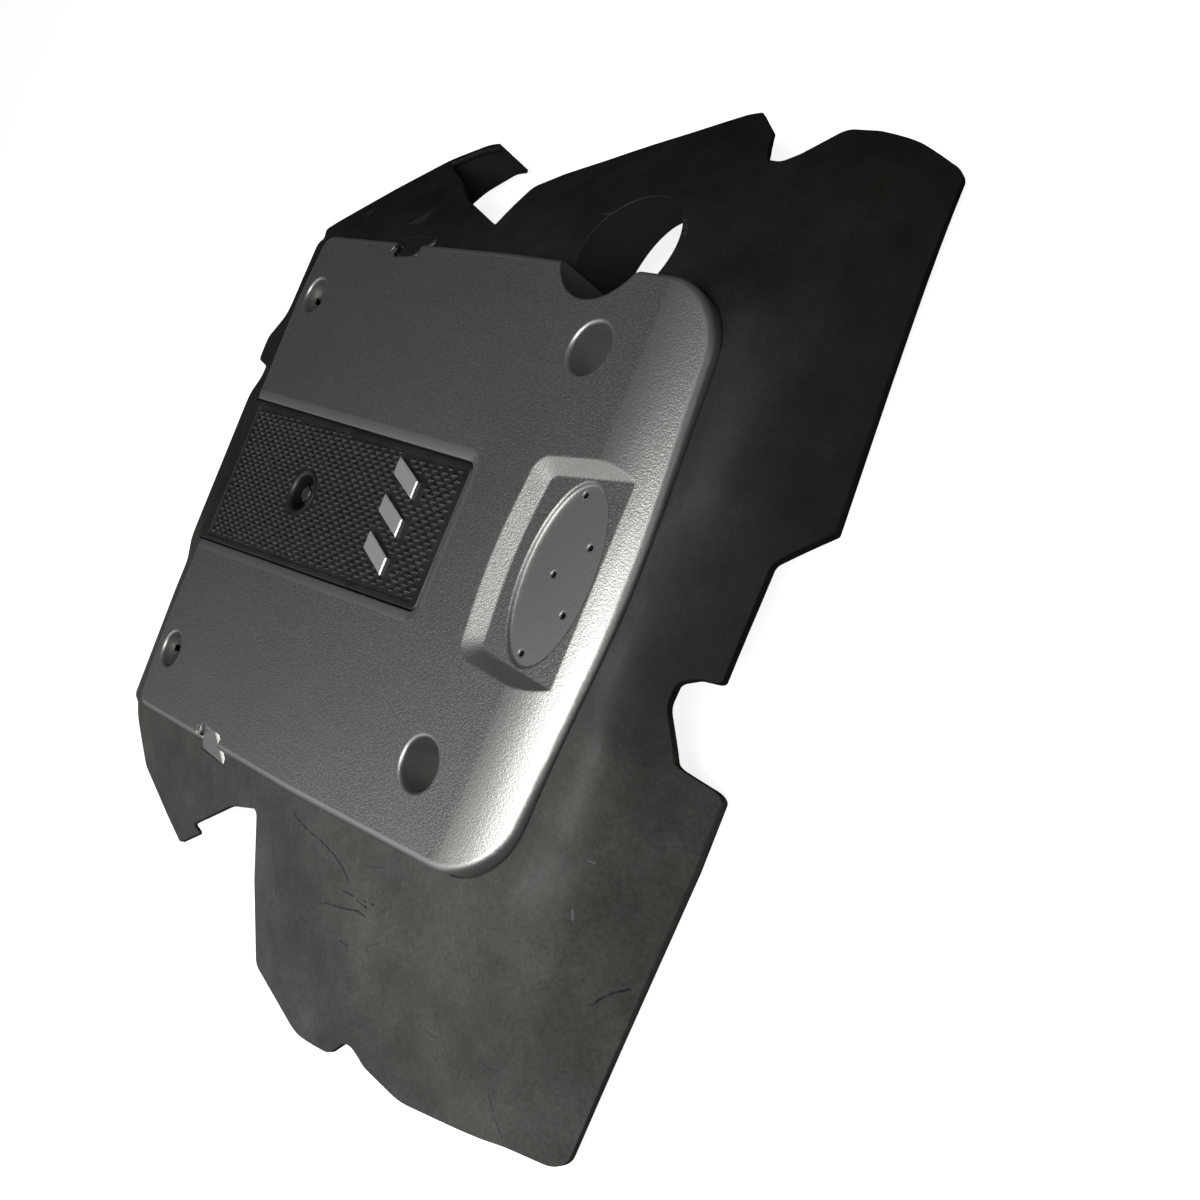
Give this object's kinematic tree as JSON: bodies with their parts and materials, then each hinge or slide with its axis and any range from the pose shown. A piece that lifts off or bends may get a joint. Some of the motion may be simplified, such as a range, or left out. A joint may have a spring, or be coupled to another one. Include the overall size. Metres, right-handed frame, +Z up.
{
  "type": "engine cover",
  "caption": "Moulded engine cover: charcoal base shell under a silver top panel with a knurled black insert, bolt wells, an oil filler opening and a hose notch.",
  "frame": {"origin": "mid-point between the two front bolt holes, at the face that their sleeves stand on", "axes": "+X across the engine towards the oil filler side, +Y rearwards to the bulkhead, +Z up out of the cover"},
  "size_m": [0.6299, 0.5425, 0.0865],
  "materials": {
    "base_plastic": "charcoal moulded plastic, satin, lightly scuffed",
    "panel_paint": "metallic silver-grey paint on grained plastic",
    "insert_plastic": "black moulded plastic, satin",
    "trim_silver": "satin silver paint with polished edges",
    "grommet_rubber": "black rubber",
    "sleeve_steel": "zinc plated steel",
    "nut_steel": "phosphated spring steel",
    "bolt_steel": "bright zinc plated steel"
  },
  "bodies": {
    "root": {"base_cover": "base_plastic", "centre_bolt": "bolt_steel", "centre_insert": "insert_plastic", "centre_washer": "bolt_steel", "grommet_centre": "grommet_rubber", "grommet_front_left": "grommet_rubber", "grommet_front_right": "grommet_rubber", "grommet_rear_left": "grommet_rubber", "grommet_rear_right": "grommet_rubber", "push_nut_front_left": "nut_steel", "push_nut_front_right": "nut_steel", "push_nut_insert_front_left": "nut_steel", "push_nut_insert_front_right": "nut_steel", "push_nut_insert_rear_left": "nut_steel", "push_nut_insert_rear_right": "nut_steel", "push_nut_rear_left": "nut_steel", "push_nut_rear_right": "nut_steel", "push_nut_side_left": "nut_steel", "push_nut_side_right": "nut_steel", "sleeve_centre": "sleeve_steel", "sleeve_front_left": "sleeve_steel", "sleeve_front_right": "sleeve_steel", "sleeve_rear_left": "sleeve_steel", "sleeve_rear_right": "sleeve_steel", "top_panel": "panel_paint", "trim_bar_left": "trim_silver", "trim_bar_middle": "trim_silver", "trim_bar_right": "trim_silver"}
  },
  "joints": []
}
